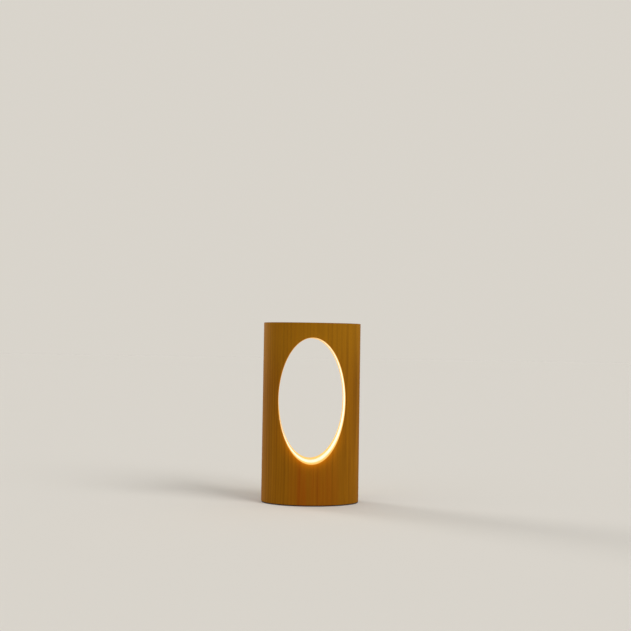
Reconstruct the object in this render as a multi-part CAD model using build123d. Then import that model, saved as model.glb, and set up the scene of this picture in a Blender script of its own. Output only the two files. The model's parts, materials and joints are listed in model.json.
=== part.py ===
from build123d import *
import math
import os

# A cordless wooden table lamp: an upright oval block of solid wood with a tall oval window cut
# through it from front to back. A frosted band set in a groove round the window's wall gives the
# light. The thick foot under the window holds a flat cell and a small control board, and carries
# a charging socket, a charge light and a push button on its back.
# Millimetres. X runs across the lamp, +Y to its back, +Z up. The origin is the middle of the foot
# pad's underside, on the table.

# Wooden body
LAMP_WIDTH = 98.0
LAMP_DEPTH = 55.0
LAMP_HEIGHT = 180.0
SIDE_WOOD = 15.9
TOP_WOOD = 15.0
TOP_ROUND = 0.6
BOTTOM_ROUND = 0.4
RIM_ROUND = 1.1
CUT_OVERRUN = 5.0
JOIN_OVERLAP = 0.5
FIND_MARGIN = 0.1

# Light band and what lies behind it
BAND_WIDTH = 28.0
BAND_WALL = 2.0
BAND_RECESS = 0.3
BAND_LEG = 1.6
BAND_SIDE_GAP = 0.1
BAND_SEAM = 0.35
SEAM_HEIGHT_ABOVE_CENTRE = 5.0
GROOVE_DEPTH = 5.0
STRIP_WIDTH = 10.0
STRIP_THICKNESS = 0.3
STRIP_GLUE = 0.05
STRIP_END_GAP = 1.2
CHIP_COUNT = 36
CHIP_LENGTH = 3.5
CHIP_WIDTH = 2.8
CHIP_HEIGHT = 0.8
CHIP_SOLDER = 0.1

# Foot: pad, cover, hollow and the web of wood between the hollow and the window's groove
PAD_THICKNESS = 1.0
PAD_INSET = 0.4
PAD_HOLE = 7.4
PAD_EDGE = 0.3
COVER_THICKNESS = 2.5
COVER_INSET = 3.5
COVER_GAP = 0.15
LIP_HEIGHT = 2.0
LIP_WALL = 1.6
HOLLOW_HEIGHT = 27.5
HOLLOW_END_WOOD = 15.0
HOLLOW_SIDE_WOOD = 9.5
HOLLOW_CORNER = 8.0
WEB = 5.0
SCREW_FROM_HOLLOW = 4.7
SCREW_SPREAD = 12.0
SCREW_SHANK = 3.0
SCREW_HEAD = 5.6
SCREW_LENGTH = 10.0
SCREW_HEAD_HEIGHT = 1.5
SCREW_TIP = 2.2
SCREW_POINT = 0.6
SCREW_DRIVE_REACH = 3.08
SCREW_DRIVE_WIDTH = 0.8
SCREW_DRIVE_DEPTH = 1.2
SCREW_FIT = 0.05

# What the small pan-head screws share
SMALL_HEAD_ROUND = 0.35
SMALL_DRIVE_SHARE_OF_HEAD = 0.6
SMALL_DRIVE_WIDTH = 0.5
SMALL_DRIVE_DEPTH = 0.6

# Back plate, set flush in a recess in the back of the foot
CONTROL_HEIGHT = 15.2
PLATE_LENGTH = 42.0
PLATE_HEIGHT = 13.0
PLATE_SEAT_DEPTH = 4.9
PLATE_GAP = 0.15
PLATE_FRONT_WALL = 1.7
PLATE_CAVITY_HEIGHT = 9.4
PLATE_SCREW_SPACING = 34.6
PLATE_SCREW_SHANK = 1.8
PLATE_SCREW_HEAD = 3.4
PLATE_SCREW_LENGTH = 6.0
PLATE_SCREW_SINK = 0.6
PLATE_SCREW_HEAD_HEIGHT = 0.9
PLATE_EDGE = 0.35
RECESS_EDGE = 0.4
SLOT_GAP = 0.6
SLOT_HEIGHT = 9.8
SLOT_CORNER = 1.5

# Control board, carried on two shelves behind the plate
BOARD_WIDTH = 24.5
BOARD_INNER_Y = 0.7
BOARD_THICKNESS = 1.6
BOARD_FRONT_WALL_GAP = 0.3
BOARD_TOP_BELOW_AXIS = 1.6
SHELF_THICKNESS = 1.4
SHELF_WIDTH = 4.4
SHELF_SIDE_WALL = 0.95
SHELF_SIDE_HEIGHT = 3.8
BOARD_SIDE_GAP = 0.2
BOARD_SCREW_FROM_END = 3.0
BOARD_SCREW_FROM_EDGE = 1.7
BOARD_SCREW_SHANK = 1.6
BOARD_SCREW_HEAD = 3.0
BOARD_SCREW_HEAD_HEIGHT = 1.0
BOARD_SCREW_LENGTH = 3.2

# Charging socket, for the small plug that goes in either way up
SOCKET_OFFSET = -7.0
SOCKET_WIDTH = 8.94
SOCKET_HEIGHT = 3.16
SOCKET_LENGTH = 7.35
SOCKET_SHELL = 0.3
SOCKET_MOUTH_SINK = 0.2
SOCKET_FIT = 0.17
SOCKET_LEAD_IN = 0.8
TONGUE_WIDTH = 6.65
TONGUE_THICKNESS = 0.7
TONGUE_LENGTH = 4.6
TONGUE_BASE = 1.6
CONTACT_COUNT = 12
CONTACT_PITCH = 0.5
CONTACT_WIDTH = 0.26
CONTACT_LENGTH = 3.6
CONTACT_HEIGHT = 0.04
CONTACT_FROM_TIP = 0.4

# Push button, its spring and the switch that it works
BUTTON_OFFSET = 7.0
BUTTON_DIAMETER = 7.0
BUTTON_FIT = 0.1
BUTTON_TRAVEL = 0.8
BUTTON_SINK = 0.12
BUTTON_EDGE = 0.4
BUTTON_HOLLOW_DIAMETER = 5.4
BUTTON_HOLLOW_DEPTH = 0.2
FLANGE_DIAMETER = 8.8
FLANGE_THICKNESS = 0.8
FLANGE_GAP = 0.2
FLANGE_CLEAR = 0.5
STEM_DIAMETER = 3.0
DISH_DIAMETER = 12.0
DISH_DEPTH = 1.1
SWITCH_WIDTH = 6.0
SWITCH_DEPTH = 3.6
SWITCH_HEIGHT = 4.0
SWITCH_FROM_FLANGE = 3.3
PLUNGER_WIDTH = 2.4
PLUNGER_HEIGHT = 1.4
PLUNGER_REACH = 1.25
PLUNGER_HIDDEN = 1.2
PLUNGER_GAP = 0.1
SPRING_WIRE = 0.45
SPRING_MEAN_DIAMETER = 3.8
SPRING_TURNS = 4.0
SPRING_SEAT_GAP = 0.08

# Charge light
PIPE_DIAMETER = 2.0
PIPE_LENGTH = 5.8
PIPE_FIT = 0.05
PIPE_SINK = 0.1
LIGHT_CHIP = 1.6
LIGHT_CHIP_DEPTH = 1.2
LIGHT_CHIP_HEIGHT = 2.0
LIGHT_CHIP_GAP = 0.2

# Other parts on the board
HEADER_WIDTH = 6.0
HEADER_DEPTH = 4.6
HEADER_HEIGHT = 4.4
HEADER_WALL = 0.6
HEADER_OFFSET = 5.0
HEADER_FROM_END = 0.4
PIN_SIZE = 0.5
PIN_THICKNESS = 0.3
PIN_REACH = 3.2
PIN_TAIL = 0.9
PIN_GAP = 0.05
PLUG_GAP = 0.08
PLUG_OUT = 2.6

# Cell
CELL_THICKNESS = 7.5
CELL_CORNER = 4.0
CELL_EDGE = 2.0
CELL_END_GAP = 1.0
CELL_SIDE_GAP = 3.0
CELL_LEAD_ROOM = 17.0
FOAM_THICKNESS = 2.5
FOAM_INSET = 3.0
GUARD_BOARD_LENGTH = 3.0
GUARD_BOARD_WIDTH = 26.0
GUARD_BOARD_THICKNESS = 1.0

# Leads
LEAD_DIAMETER = 1.3
LEAD_SPACING = 2.0
LEAD_CLEAR = 0.1
LEAD_BORE = 4.0
LEAD_BORE_FROM_GUARD = 2.0

# Heights and places that follow from the sizes above
WOOD_BOTTOM = PAD_THICKNESS
COVER_TOP = WOOD_BOTTOM + COVER_THICKNESS
HOLLOW_TOP = COVER_TOP + HOLLOW_HEIGHT
WINDOW_BOTTOM = HOLLOW_TOP + WEB + GROOVE_DEPTH
WINDOW_TOP = LAMP_HEIGHT - TOP_WOOD
WINDOW_CENTRE = (WINDOW_BOTTOM + WINDOW_TOP) / 2
WINDOW_HALF_HEIGHT = (WINDOW_TOP - WINDOW_BOTTOM) / 2
WINDOW_HALF_WIDTH = LAMP_WIDTH / 2 - SIDE_WOOD
HOLLOW_LENGTH = LAMP_WIDTH - 2 * HOLLOW_END_WOOD
HOLLOW_WIDTH = LAMP_DEPTH - 2 * HOLLOW_SIDE_WOOD
SEAT_Y = LAMP_DEPTH / 2 - PLATE_SEAT_DEPTH
BOARD_TOP = CONTROL_HEIGHT - BOARD_TOP_BELOW_AXIS
BOARD_BOTTOM = BOARD_TOP - BOARD_THICKNESS


def back_surface(x):
    """Y of the lamp's curved back at a distance x from its middle."""
    half_width = LAMP_WIDTH / 2
    return LAMP_DEPTH / 2 * math.sqrt(1 - (x / half_width) ** 2)


CAVITY_Y = back_surface(SOCKET_OFFSET) - PLATE_FRONT_WALL
SOCKET_MOUTH_Y = back_surface(SOCKET_OFFSET) - SOCKET_MOUTH_SINK
SOCKET_FRONT_Y = SOCKET_MOUTH_Y - SOCKET_LENGTH
BOARD_REAR_Y = CAVITY_Y - BOARD_FRONT_WALL_GAP
SHELF_OUTER_X = BOARD_WIDTH / 2 + BOARD_SIDE_GAP + SHELF_SIDE_WALL
BUTTON_FACE_Y = back_surface(BUTTON_OFFSET) - BUTTON_SINK
FLANGE_REAR_Y = CAVITY_Y - FLANGE_GAP
FLANGE_FRONT_Y = FLANGE_REAR_Y - FLANGE_THICKNESS
SWITCH_REAR_Y = FLANGE_FRONT_Y - SWITCH_FROM_FLANGE
SWITCH_FRONT_Y = SWITCH_REAR_Y - SWITCH_DEPTH
PLUNGER_TIP_Y = SWITCH_REAR_Y + PLUNGER_REACH
PIPE_REAR_Y = back_surface(0) - PIPE_SINK
PIPE_FRONT_Y = PIPE_REAR_Y - PIPE_LENGTH
SCREW_X = HOLLOW_LENGTH / 2 + SCREW_FROM_HOLLOW
CELL_LEFT = -HOLLOW_LENGTH / 2 + CELL_END_GAP
CELL_RIGHT = HOLLOW_LENGTH / 2 - CELL_LEAD_ROOM
CELL_TOP = HOLLOW_TOP - FOAM_THICKNESS
CELL_BOTTOM = CELL_TOP - CELL_THICKNESS
GUARD_BOARD_END = CELL_RIGHT + GUARD_BOARD_LENGTH
GUARD_BOARD_Z = (CELL_TOP + CELL_BOTTOM) / 2
LEAD_BORE_OFFSET = GUARD_BOARD_END + LEAD_BORE_FROM_GUARD
HEADER_INNER_Y = BOARD_INNER_Y + HEADER_FROM_END
HEADER_OUTER_Y = HEADER_INNER_Y + HEADER_DEPTH
PLUG_FACE_Y = HEADER_INNER_Y - PLUG_OUT
PLUG_Z = BOARD_TOP + HEADER_HEIGHT / 2


def box(x_range, y_range, z_range):
    """A plain block between the given limits."""
    sizes = [high - low for low, high in (x_range, y_range, z_range)]
    middles = [(low + high) / 2 for low, high in (x_range, y_range, z_range)]
    return Pos(*middles) * Box(*sizes)


def window_slab(outset, y_low, y_high):
    """The window's oval, grown by outset, as a slab between two Y planes."""
    oval = Ellipse(WINDOW_HALF_WIDTH + outset, WINDOW_HALF_HEIGHT + outset)
    return Pos(0, y_high, WINDOW_CENTRE) * extrude(Plane.XZ * oval, y_high - y_low)


def flat_oval(inset, z_low, z_high):
    """The lamp's outline, drawn in by inset, as a plate between two heights."""
    outline = Ellipse(LAMP_WIDTH / 2 - inset, LAMP_DEPTH / 2 - inset)
    return Pos(0, 0, z_low) * extrude(outline, z_high - z_low)


def hollow_block(inset, z_low, z_high):
    """The foot's hollow, drawn in by inset, between two heights."""
    plan = RectangleRounded(
        HOLLOW_LENGTH - 2 * inset, HOLLOW_WIDTH - 2 * inset, HOLLOW_CORNER - inset
    )
    return Pos(0, 0, z_low) * extrude(plan, z_high - z_low)


def facing_back(profile, x, y_low, y_high, z=CONTROL_HEIGHT):
    """A flat profile that faces the lamp's back, as a prism between two Y planes."""
    return Pos(x, y_high, z) * extrude(Plane.XZ * profile, y_high - y_low)


def rod_y(diameter, x, y_low, y_high, z=CONTROL_HEIGHT):
    """A round rod along Y."""
    return facing_back(Circle(diameter / 2), x, y_low, y_high, z)


def rod_z(diameter, x, y, z_low, z_high):
    """A round rod along Z."""
    return Pos(x, y, z_low) * extrude(Circle(diameter / 2), z_high - z_low)


def cover_screw_places():
    """The middles of the four cover screws."""
    return [(sx * SCREW_X, sy * SCREW_SPREAD / 2) for sx in (-1, 1) for sy in (-1, 1)]


def plate_screw_places():
    """The two plate screws' distances from the lamp's middle."""
    return [side * PLATE_SCREW_SPACING / 2 for side in (-1, 1)]


def board_screw_places():
    """The middles of the two board screws."""
    x = BOARD_WIDTH / 2 - BOARD_SCREW_FROM_EDGE
    y = BOARD_INNER_Y + BOARD_SCREW_FROM_END
    return [(-x, y), (x, y)]


def groove_floor(x):
    """Height of the groove's floor under the window, at a distance x from the middle."""
    half_width = WINDOW_HALF_WIDTH + GROOVE_DEPTH
    half_height = WINDOW_HALF_HEIGHT + GROOVE_DEPTH
    return WINDOW_CENTRE - half_height * math.sqrt(1 - (x / half_width) ** 2)


def wood_body():
    """The oval block with its window, groove, foot hollow, cover seat and back recess."""
    block = flat_oval(0, WOOD_BOTTOM, LAMP_HEIGHT)
    block = fillet(block.edges().sort_by(Axis.Z)[0], BOTTOM_ROUND)
    block = fillet(block.edges().sort_by(Axis.Z)[-1], TOP_ROUND)
    cut = block - window_slab(0, -LAMP_DEPTH, LAMP_DEPTH)
    window_edges = [
        edge
        for edge in cut.edges()
        if WINDOW_BOTTOM - FIND_MARGIN < edge.center().Z < WINDOW_TOP + FIND_MARGIN
        and edge.geom_type != GeomType.LINE
    ]
    cut = fillet(window_edges, RIM_ROUND)
    groove = BAND_WIDTH / 2 + BAND_SIDE_GAP
    cut -= window_slab(GROOVE_DEPTH, -groove, groove)
    cut -= hollow_block(0, WOOD_BOTTOM - CUT_OVERRUN, HOLLOW_TOP)
    cut -= flat_oval(COVER_INSET, WOOD_BOTTOM - CUT_OVERRUN, COVER_TOP)
    outside = LAMP_DEPTH / 2 + CUT_OVERRUN
    cut -= facing_back(SlotOverall(PLATE_LENGTH, PLATE_HEIGHT), 0, SEAT_Y, outside)
    cut = fillet(recess_rim(cut), RECESS_EDGE)
    slot = RectangleRounded(2 * (SHELF_OUTER_X + SLOT_GAP), SLOT_HEIGHT, SLOT_CORNER)
    cut -= facing_back(slot, 0, HOLLOW_WIDTH / 2 - CUT_OVERRUN, outside)
    bore_top = groove_floor(LEAD_BORE_OFFSET + LEAD_BORE)
    cut -= rod_z(LEAD_BORE, LEAD_BORE_OFFSET, 0, HOLLOW_TOP - CUT_OVERRUN, bore_top)
    for x, y in cover_screw_places():
        shank = SCREW_SHANK + 2 * SCREW_FIT
        cut -= rod_z(shank, x, y, WOOD_BOTTOM, WOOD_BOTTOM + SCREW_LENGTH + SCREW_FIT)
    for x in plate_screw_places():
        shank = PLATE_SCREW_SHANK + 2 * SCREW_FIT
        tip = back_surface(x) - PLATE_SCREW_SINK - PLATE_SCREW_LENGTH - SCREW_FIT
        cut -= rod_y(shank, x, tip, outside)
    return cut


def recess_rim(block):
    """The edges where the back recess meets the lamp's curved surface."""
    low, high = CONTROL_HEIGHT - PLATE_HEIGHT / 2, CONTROL_HEIGHT + PLATE_HEIGHT / 2
    near = back_surface(PLATE_LENGTH / 2) - FIND_MARGIN
    return [
        edge
        for edge in block.edges()
        if edge.bounding_box().min.Y > near and low - FIND_MARGIN < edge.center().Z < high + FIND_MARGIN
    ]


def light_band():
    """The frosted band: a wide face and two legs that stand on the groove's floor."""
    half = BAND_WIDTH / 2
    face_back = BAND_RECESS + BAND_WALL
    ring = window_slab(GROOVE_DEPTH - STRIP_GLUE, -half, half)
    ring -= window_slab(BAND_RECESS, -half - CUT_OVERRUN, half + CUT_OVERRUN)
    inner = half - BAND_LEG
    channel = window_slab(GROOVE_DEPTH + CUT_OVERRUN, -inner, inner)
    channel -= window_slab(face_back, -half, half)
    ring -= channel
    seam_z = WINDOW_CENTRE + SEAM_HEIGHT_ABOVE_CENTRE
    across = (-half - CUT_OVERRUN, half + CUT_OVERRUN)
    seam = box((0, LAMP_WIDTH / 2), across, (seam_z, seam_z + BAND_SEAM))
    return ring - seam


def light_strip():
    """The thin strip glued to the groove's floor, open where its two ends meet."""
    half = STRIP_WIDTH / 2
    ring = window_slab(GROOVE_DEPTH - STRIP_GLUE, -half, half)
    across = (-half - CUT_OVERRUN, half + CUT_OVERRUN)
    ring -= window_slab(GROOVE_DEPTH - STRIP_GLUE - STRIP_THICKNESS, *across)
    seam_z = WINDOW_CENTRE + SEAM_HEIGHT_ABOVE_CENTRE
    gap = (seam_z - STRIP_END_GAP / 2, seam_z + STRIP_END_GAP / 2)
    return ring - box((0, LAMP_WIDTH / 2), across, gap)


def even_angles(half_width, half_height, count):
    """Ellipse angles that part its length into equal steps, from the half step above +X."""
    steps = 3600
    angles = [2 * math.pi * i / steps for i in range(steps + 1)]
    points = [(half_width * math.cos(a), half_height * math.sin(a)) for a in angles]
    lengths = [0.0]
    for first, second in zip(points, points[1:]):
        lengths.append(lengths[-1] + math.dist(first, second))
    found = []
    for i in range(count):
        wanted = lengths[-1] * (i + 0.5) / count
        k = next(k for k, value in enumerate(lengths) if value >= wanted)
        found.append(angles[k])
    return found


def light_chips():
    """The light-emitting chips on the strip, evenly spaced and facing the window."""
    on = GROOVE_DEPTH - STRIP_GLUE - STRIP_THICKNESS
    half_width = WINDOW_HALF_WIDTH + on
    half_height = WINDOW_HALF_HEIGHT + on
    chips = []
    for angle in even_angles(half_width, half_height, CHIP_COUNT):
        x = half_width * math.cos(angle)
        z = half_height * math.sin(angle)
        inward = Vector(-math.cos(angle) * half_height, 0, -math.sin(angle) * half_width).normalized()
        centre = Vector(x, 0, WINDOW_CENTRE + z) + inward * (CHIP_SOLDER + CHIP_HEIGHT / 2)
        seat = Plane(origin=centre, x_dir=(0, 1, 0), z_dir=inward)
        chips.append(seat * Box(CHIP_WIDTH, CHIP_LENGTH, CHIP_HEIGHT))
    return Compound(children=chips)


def foot_pad():
    """The soft pad that the lamp stands on, with a way through to each cover screw."""
    pad = flat_oval(PAD_INSET, 0, PAD_THICKNESS)
    pad = fillet(pad.edges().sort_by(Axis.Z)[0], PAD_EDGE)
    for x, y in cover_screw_places():
        pad -= rod_z(PAD_HOLE, x, y, -CUT_OVERRUN, PAD_THICKNESS + CUT_OVERRUN)
    return pad


def base_cover():
    """The plate that closes the hollow, with a lip that centres it and countersunk holes."""
    plate = flat_oval(COVER_INSET + COVER_GAP, WOOD_BOTTOM, COVER_TOP)
    lip = hollow_block(COVER_GAP, COVER_TOP, COVER_TOP + LIP_HEIGHT)
    lip -= hollow_block(COVER_GAP + LIP_WALL, COVER_TOP, COVER_TOP + LIP_HEIGHT + CUT_OVERRUN)
    cover = plate + lip
    for x, y in cover_screw_places():
        cover -= rod_z(SCREW_SHANK + 4 * SCREW_FIT, x, y, 0, COVER_TOP + CUT_OVERRUN)
        cover -= screw_cone(x, y, SCREW_FIT)
    return cover


def screw_cone(x, y, outset):
    """The countersunk head's cone, grown by outset."""
    radius = SCREW_HEAD / 2 + outset
    neck = SCREW_SHANK / 2 + outset
    low = WOOD_BOTTOM
    return Pos(x, y, low + SCREW_HEAD_HEIGHT / 2) * Cone(radius, neck, SCREW_HEAD_HEIGHT)


def cross_recess(reach, width, depth):
    """A cross-shaped driver recess, sunk downwards from the origin."""
    arm = Pos(0, 0, -depth / 2) * Box(reach, width, depth)
    return arm + Rot(0, 0, 90) * arm


def small_recess(head_diameter):
    """The driver recess of a small pan head."""
    return cross_recess(head_diameter * SMALL_DRIVE_SHARE_OF_HEAD, SMALL_DRIVE_WIDTH, SMALL_DRIVE_DEPTH)


def cover_screws():
    """Four countersunk wood screws, heads down."""
    screws = []
    for x, y in cover_screw_places():
        length = SCREW_LENGTH - SCREW_TIP
        screw = screw_cone(x, y, 0)
        screw += rod_z(SCREW_SHANK, x, y, WOOD_BOTTOM, WOOD_BOTTOM + length)
        tip = Cone(SCREW_SHANK / 2, SCREW_POINT / 2, SCREW_TIP)
        screw += Pos(x, y, WOOD_BOTTOM + length + SCREW_TIP / 2) * tip
        recess = cross_recess(SCREW_DRIVE_REACH, SCREW_DRIVE_WIDTH, SCREW_DRIVE_DEPTH)
        screws.append(screw - Pos(x, y, WOOD_BOTTOM) * Rot(180, 0, 0) * recess)
    return Compound(children=screws)


def back_plate():
    """The curved plate on the lamp's back, with two shelves behind it for the board."""
    profile = SlotOverall(PLATE_LENGTH - 2 * PLATE_GAP, PLATE_HEIGHT - 2 * PLATE_GAP)
    outside = LAMP_DEPTH / 2 + CUT_OVERRUN
    plate = facing_back(profile, 0, SEAT_Y, outside)
    plate &= flat_oval(0, 0, LAMP_HEIGHT)
    plate = fillet(recess_rim(plate), PLATE_EDGE)
    cavity = RectangleRounded(2 * SHELF_OUTER_X, PLATE_CAVITY_HEIGHT, SLOT_CORNER)
    plate -= facing_back(cavity, 0, SEAT_Y, CAVITY_Y)
    socket = SlotOverall(SOCKET_WIDTH + 2 * SOCKET_FIT, SOCKET_HEIGHT + 2 * SOCKET_FIT)
    plate -= facing_back(socket, SOCKET_OFFSET, SEAT_Y, outside)
    wider = SlotOverall(SOCKET_WIDTH + 2 * SOCKET_LEAD_IN, SOCKET_HEIGHT + 2 * SOCKET_LEAD_IN)
    plate -= facing_back(wider, SOCKET_OFFSET, SOCKET_MOUTH_Y, outside)
    sphere_radius = ((DISH_DIAMETER / 2) ** 2 + DISH_DEPTH**2) / (2 * DISH_DEPTH)
    dish_y = back_surface(BUTTON_OFFSET) + sphere_radius - DISH_DEPTH
    plate -= Pos(BUTTON_OFFSET, dish_y, CONTROL_HEIGHT) * Sphere(sphere_radius)
    plate -= rod_y(BUTTON_DIAMETER + 2 * BUTTON_FIT, BUTTON_OFFSET, SEAT_Y, outside)
    plate -= rod_y(PIPE_DIAMETER + 2 * PIPE_FIT, 0, SEAT_Y, outside)
    for x in plate_screw_places():
        plate -= rod_y(PLATE_SCREW_SHANK + 2 * SCREW_FIT, x, SEAT_Y, outside)
        plate -= rod_y(PLATE_SCREW_HEAD + 2 * SCREW_FIT, x, plate_screw_seat(x), outside)
    return plate + board_shelf(-1) + board_shelf(1)


def plate_screw_seat(x):
    """Y of the step that a plate screw's head rests on."""
    return back_surface(x) - PLATE_SCREW_SINK - PLATE_SCREW_HEAD_HEIGHT


def board_shelf(side):
    """One of the two angle-shaped shelves that the board's long edges lie on."""
    outer = side * SHELF_OUTER_X
    inner = outer - side * SHELF_WIDTH
    wall = outer - side * SHELF_SIDE_WALL
    low = BOARD_BOTTOM - SHELF_THICKNESS
    shelf = box(sorted((inner, outer)), (BOARD_INNER_Y, SWITCH_REAR_Y), (low, BOARD_BOTTOM))
    shelf += box(sorted((wall, outer)), (BOARD_INNER_Y, CAVITY_Y), (low, low + SHELF_SIDE_HEIGHT))
    x, y = board_screw_places()[0 if side < 0 else 1]
    hole = BOARD_SCREW_SHANK + 2 * SCREW_FIT
    return shelf - rod_z(hole, x, y, BOARD_BOTTOM - CUT_OVERRUN, BOARD_TOP)


def plate_screws():
    """Two small screws that hold the back plate to the wood."""
    screws = []
    for x in plate_screw_places():
        face = back_surface(x) - PLATE_SCREW_SINK
        screw = rod_y(PLATE_SCREW_HEAD, x, plate_screw_seat(x), face)
        screw = fillet(screw.edges().sort_by(Axis.Y)[-1], SMALL_HEAD_ROUND)
        screw += rod_y(PLATE_SCREW_SHANK, x, face - PLATE_SCREW_LENGTH, face - SMALL_DRIVE_DEPTH)
        recess = Rot(-90, 0, 0) * small_recess(PLATE_SCREW_HEAD)
        screws.append(screw - Pos(x, face, CONTROL_HEIGHT) * recess)
    return Compound(children=screws)


def control_board():
    """The board, cut back where the button's flange moves."""
    half = BOARD_WIDTH / 2
    board = box((-half, half), (BOARD_INNER_Y, BOARD_REAR_Y), (BOARD_BOTTOM, BOARD_TOP))
    notch_left = BUTTON_OFFSET - FLANGE_DIAMETER / 2 - FLANGE_CLEAR
    notch_y = (SWITCH_REAR_Y, BOARD_REAR_Y + CUT_OVERRUN)
    board -= box((notch_left, half + CUT_OVERRUN), notch_y, (0, BOARD_TOP + CUT_OVERRUN))
    for x, y in board_screw_places():
        board -= rod_z(BOARD_SCREW_SHANK + 4 * SCREW_FIT, x, y, 0, BOARD_TOP + CUT_OVERRUN)
    return board


def board_screws():
    """Two pan-head screws that hold the board on its shelves."""
    screws = []
    for x, y in board_screw_places():
        head = rod_z(BOARD_SCREW_HEAD, x, y, BOARD_TOP, BOARD_TOP + BOARD_SCREW_HEAD_HEIGHT)
        head = fillet(head.edges().sort_by(Axis.Z)[-1], SMALL_HEAD_ROUND)
        low = BOARD_TOP - BOARD_SCREW_LENGTH
        screw = head + rod_z(BOARD_SCREW_SHANK, x, y, low, BOARD_TOP + BOARD_SCREW_HEAD_HEIGHT / 5)
        top = Pos(x, y, BOARD_TOP + BOARD_SCREW_HEAD_HEIGHT)
        screws.append(screw - top * small_recess(BOARD_SCREW_HEAD))
    return Compound(children=screws)


def socket_shell():
    """The charging socket's metal shell, closed at its inner end."""
    outer = SlotOverall(SOCKET_WIDTH, SOCKET_HEIGHT)
    inner = SlotOverall(SOCKET_WIDTH - 2 * SOCKET_SHELL, SOCKET_HEIGHT - 2 * SOCKET_SHELL)
    shell = facing_back(outer, SOCKET_OFFSET, SOCKET_FRONT_Y, SOCKET_MOUTH_Y, socket_axis_z())
    back_wall = SOCKET_FRONT_Y + SOCKET_SHELL
    outside = SOCKET_MOUTH_Y + CUT_OVERRUN
    return shell - facing_back(inner, SOCKET_OFFSET, back_wall, outside, socket_axis_z())


def socket_axis_z():
    """Height of the socket's middle: its shell rests on the board."""
    return BOARD_TOP + SOCKET_HEIGHT / 2


def socket_tongue():
    """The socket's insulating block and the tongue that carries its contacts."""
    z = socket_axis_z()
    front = SOCKET_FRONT_Y + SOCKET_SHELL
    block = SlotOverall(SOCKET_WIDTH - 2 * SOCKET_SHELL, SOCKET_HEIGHT - 2 * SOCKET_SHELL)
    tongue = facing_back(block, SOCKET_OFFSET, front, front + TONGUE_BASE, z)
    half = TONGUE_WIDTH / 2
    blade = box(
        (SOCKET_OFFSET - half, SOCKET_OFFSET + half),
        (front + TONGUE_BASE - JOIN_OVERLAP, front + TONGUE_BASE + TONGUE_LENGTH),
        (z - TONGUE_THICKNESS / 2, z + TONGUE_THICKNESS / 2),
    )
    return tongue + blade


def socket_contacts():
    """The flat contacts on both sides of the tongue."""
    tip = SOCKET_FRONT_Y + SOCKET_SHELL + TONGUE_BASE + TONGUE_LENGTH - CONTACT_FROM_TIP
    contacts = []
    for i in range(CONTACT_COUNT):
        x = SOCKET_OFFSET + (i - (CONTACT_COUNT - 1) / 2) * CONTACT_PITCH
        for side in (-1, 1):
            z = socket_axis_z() + side * (TONGUE_THICKNESS + CONTACT_HEIGHT) / 2
            place = Pos(x, tip - CONTACT_LENGTH / 2, z)
            contacts.append(place * Box(CONTACT_WIDTH, CONTACT_LENGTH, CONTACT_HEIGHT))
    return Compound(children=contacts)


def button_cap():
    """The round cap with the flange that keeps it in the plate and the stem behind it."""
    cap = rod_y(BUTTON_DIAMETER, BUTTON_OFFSET, FLANGE_FRONT_Y, BUTTON_FACE_Y)
    cap = fillet(cap.edges().sort_by(Axis.Y)[-1], BUTTON_EDGE)
    ball = ((BUTTON_HOLLOW_DIAMETER / 2) ** 2 + BUTTON_HOLLOW_DEPTH**2) / (2 * BUTTON_HOLLOW_DEPTH)
    ball_y = BUTTON_FACE_Y + ball - BUTTON_HOLLOW_DEPTH
    cap -= Pos(BUTTON_OFFSET, ball_y, CONTROL_HEIGHT) * Sphere(ball)
    cap += rod_y(FLANGE_DIAMETER, BUTTON_OFFSET, FLANGE_FRONT_Y, FLANGE_REAR_Y)
    cap += rod_y(STEM_DIAMETER, BUTTON_OFFSET, PLUNGER_TIP_Y, FLANGE_REAR_Y)
    return cap


def switch_plunger():
    """The switch's small plunger, touching the stem."""
    half = PLUNGER_WIDTH / 2
    rise = PLUNGER_HEIGHT / 2
    return box(
        (BUTTON_OFFSET - half, BUTTON_OFFSET + half),
        (SWITCH_REAR_Y - PLUNGER_HIDDEN, PLUNGER_TIP_Y),
        (CONTROL_HEIGHT - rise, CONTROL_HEIGHT + rise),
    )


def switch_housing():
    """The switch's housing on the board, with the passage that its plunger slides in."""
    half = SWITCH_WIDTH / 2
    left, right = BUTTON_OFFSET - half, BUTTON_OFFSET + half
    housing = box((left, right), (SWITCH_FRONT_Y, SWITCH_REAR_Y), (BOARD_TOP, BOARD_TOP + SWITCH_HEIGHT))
    across = PLUNGER_WIDTH / 2 + PLUNGER_GAP
    rise = PLUNGER_HEIGHT / 2 + PLUNGER_GAP
    deep = SWITCH_REAR_Y - PLUNGER_HIDDEN - BUTTON_TRAVEL - PLUNGER_GAP
    return housing - box(
        (BUTTON_OFFSET - across, BUTTON_OFFSET + across),
        (deep, SWITCH_REAR_Y + CUT_OVERRUN),
        (CONTROL_HEIGHT - rise, CONTROL_HEIGHT + rise),
    )


def button_spring():
    """The coil spring that pushes the button out again."""
    low = SWITCH_REAR_Y + SPRING_SEAT_GAP + SPRING_WIRE / 2
    high = FLANGE_FRONT_Y - SPRING_SEAT_GAP - SPRING_WIRE / 2
    pitch = (high - low) / SPRING_TURNS
    print("button spring: pitch", round(pitch, 3), "gap between turns", round(pitch - SPRING_WIRE, 3))
    path = Helix(pitch, high - low, SPRING_MEAN_DIAMETER / 2)
    coil = sweep(Plane(origin=path @ 0, z_dir=path % 0) * Circle(SPRING_WIRE / 2), path, is_frenet=True)
    return Pos(BUTTON_OFFSET, low, CONTROL_HEIGHT) * Rot(-90, 0, 0) * coil


def light_pipe():
    """The clear rod that shows the charge light on the plate."""
    return rod_y(PIPE_DIAMETER, 0, PIPE_FRONT_Y, PIPE_REAR_Y)


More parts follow.
